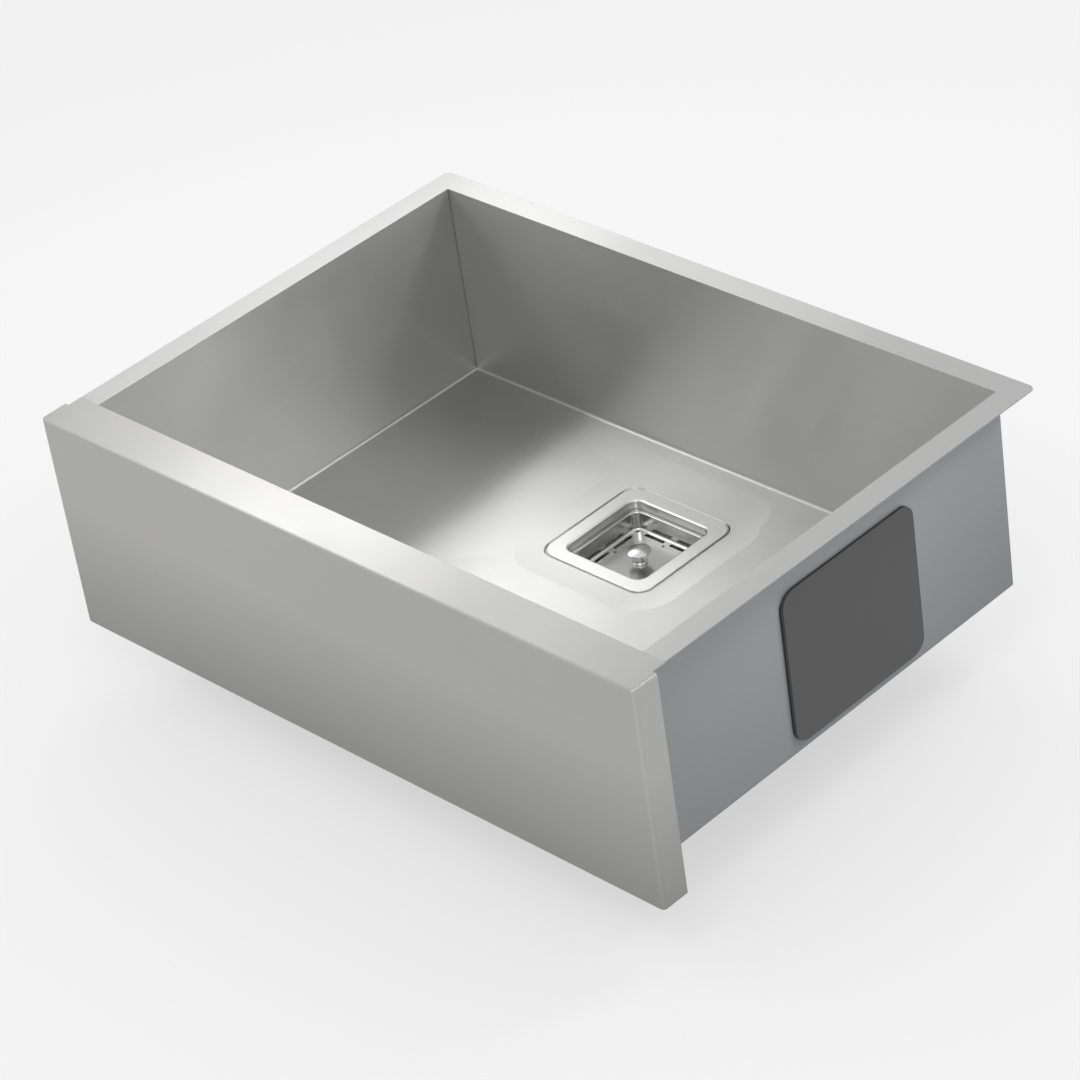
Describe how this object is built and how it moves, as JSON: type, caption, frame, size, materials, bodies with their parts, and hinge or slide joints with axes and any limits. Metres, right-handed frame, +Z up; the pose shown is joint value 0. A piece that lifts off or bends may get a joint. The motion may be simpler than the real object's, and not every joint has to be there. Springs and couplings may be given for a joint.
{
  "type": "farmhouse apron front sink",
  "caption": "Single-bowl stainless farmhouse sink with a deep folded front panel, a square strainer in the falling floor and a lift-out basket with a push-pull stopper.",
  "frame": {"origin": "middle of the front deck's top face, halfway between the front panel's face and the basin's opening", "axes": "+X along the front panel, to the right of someone at the sink; +Y away from them, from the panel to the back of the basin; +Z up, square to the rim, so the rim's top is z = 0"},
  "size_m": [0.762, 0.541, 0.3037],
  "materials": {
    "basin_steel": "satin brushed stainless steel",
    "panel_steel": "satin stainless steel brushed along its length",
    "strainer_steel": "fine satin stainless steel",
    "polished_steel": "polished stainless steel",
    "pad_rubber": "matt charcoal rubber",
    "black_rubber": "black rubber",
    "fibre": "pressed fibre",
    "zinc_steel": "zinc-plated steel",
    "plain_brass": "machined brass"
  },
  "bodies": {
    "sink": {"bowl": "basin_steel", "apron_panel": "panel_steel", "apron_braces": "basin_steel", "right_pad": "pad_rubber", "left_pad": "pad_rubber", "back_pads": "pad_rubber", "floor_pads": "pad_rubber", "strainer_body": "strainer_steel", "strainer_seal": "black_rubber", "under_gasket": "black_rubber", "slip_ring": "fibre", "clamp_frame": "zinc_steel", "clamp_studs": "zinc_steel", "clamp_nuts": "zinc_steel", "outlet_spigot": "plain_brass", "spigot_seal": "black_rubber", "spigot_washer": "fibre", "spigot_locknut": "plain_brass"},
    "basket": {"basket": "polished_steel", "guide_bush": "polished_steel", "star_washer": "zinc_steel", "detent_ring": "black_rubber"},
    "plunger": {"plunger_stem": "polished_steel", "knob": "polished_steel", "stopper": "black_rubber", "stopper_washer": "polished_steel", "stopper_nut": "polished_steel"}
  },
  "joints": [
    {"name": "basket_lift", "type": "slide", "parent": "sink", "child": "basket", "axis": [0, 0, 1], "range_m": [0, 0.3]},
    {"name": "plunger_push", "type": "slide", "parent": "basket", "child": "plunger", "axis": [0, 0, 1], "range_m": [-0.008, 0]}
  ]
}
